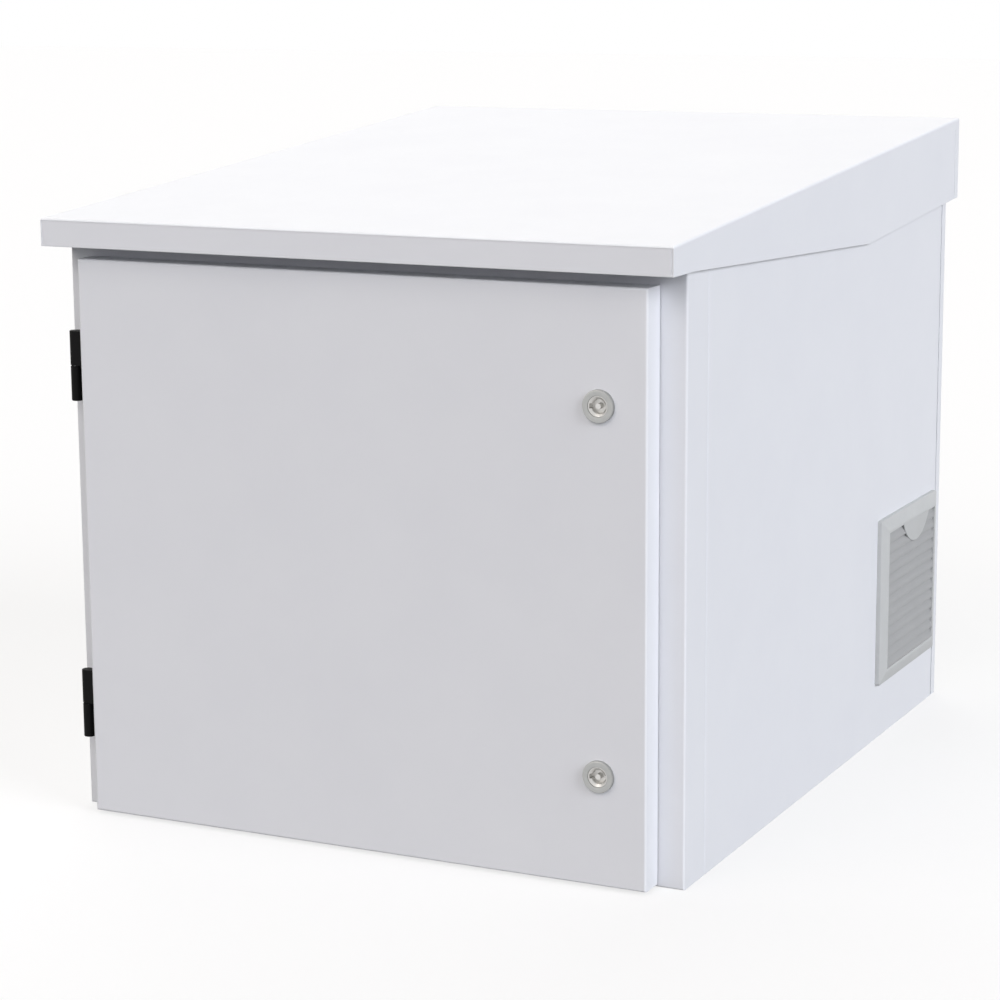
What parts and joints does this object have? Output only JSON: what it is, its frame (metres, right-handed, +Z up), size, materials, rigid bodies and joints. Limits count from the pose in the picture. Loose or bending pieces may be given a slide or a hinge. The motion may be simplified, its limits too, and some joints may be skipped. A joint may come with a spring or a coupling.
{
  "type": "roadside utility cabinet",
  "caption": "Outdoor steel utility cabinet with an overlay hinged door, cam locks, a sloping rain hood, rack rails inside and louvred filter vents low in its sides.",
  "frame": {"origin": "middle of the footprint of the whole cabinet, hood included, on the ground under the base", "axes": "+Z up, the door faces -Y, +X to the right seen from the front"},
  "size_m": [0.616, 0.77, 0.6068],
  "materials": {
    "powder_coat": "light grey satin powder coat",
    "zinc_plate": "zinc-plated steel",
    "black_hinge": "black powder-coated casting",
    "lock_casting": "satin zinc die casting",
    "grey_plastic": "moulded grey plastic",
    "filter_fleece": "bonded polyester fleece",
    "foam_seal": "foamed seal",
    "black_rubber": "moulded rubber"
  },
  "bodies": {
    "cabinet": {"front_frame": "powder_coat", "left_side_panel": "powder_coat", "right_side_panel": "powder_coat", "rear_panel": "powder_coat", "base_panel": "powder_coat", "top_panel": "powder_coat", "roof_hood": "powder_coat", "front_roof_bearer": "zinc_plate", "rear_roof_bearer": "zinc_plate", "roof_bolts": "zinc_plate", "roof_nuts": "zinc_plate", "gland_plate": "zinc_plate", "gland_gasket": "foam_seal", "gland_screws": "zinc_plate", "cable_grommets": "black_rubber", "left_lower_bearer": "zinc_plate", "left_upper_bearer": "zinc_plate", "right_lower_bearer": "zinc_plate", "right_upper_bearer": "zinc_plate", "left_front_rail": "zinc_plate", "left_rear_rail": "zinc_plate", "right_front_rail": "zinc_plate", "right_rear_rail": "zinc_plate", "rail_bolts": "zinc_plate", "rail_nuts": "zinc_plate", "earth_stud": "zinc_plate", "earth_nuts": "zinc_plate", "upper_hinge_frame_leaf": "black_hinge", "upper_hinge_pin": "zinc_plate", "lower_hinge_frame_leaf": "black_hinge", "lower_hinge_pin": "zinc_plate", "hinge_frame_screws": "zinc_plate", "left_filter_frame": "grey_plastic", "left_filter_mat": "filter_fleece", "left_louvre_cover": "grey_plastic", "right_filter_frame": "grey_plastic", "right_filter_mat": "filter_fleece", "right_louvre_cover": "grey_plastic"},
    "door": {"door_panel": "powder_coat", "door_gasket": "foam_seal", "upper_hinge_door_leaf": "black_hinge", "lower_hinge_door_leaf": "black_hinge", "hinge_door_screws": "zinc_plate", "upper_lock_housing": "lock_casting", "lower_lock_housing": "lock_casting", "lock_nuts": "zinc_plate"},
    "upper_lock": {"upper_lock_spindle": "lock_casting", "upper_lock_cam": "zinc_plate", "upper_cam_bolt": "zinc_plate"},
    "lower_lock": {"lower_lock_spindle": "lock_casting", "lower_lock_cam": "zinc_plate", "lower_cam_bolt": "zinc_plate"}
  },
  "joints": [
    {"name": "door_hinge", "type": "hinge", "parent": "cabinet", "child": "door", "pos_m": [-0.289, -0.35865, 0.259], "axis": [0, 0, -1], "range_deg": [0, 120]},
    {"name": "upper_lock_turn", "type": "hinge", "parent": "door", "child": "upper_lock", "pos_m": [0.233, -0.3715, 0.416], "axis": [0, -1, 0], "range_deg": [0, 90]},
    {"name": "lower_lock_turn", "type": "hinge", "parent": "door", "child": "lower_lock", "pos_m": [0.233, -0.3715, 0.1], "axis": [0, -1, 0], "range_deg": [0, 90]}
  ]
}
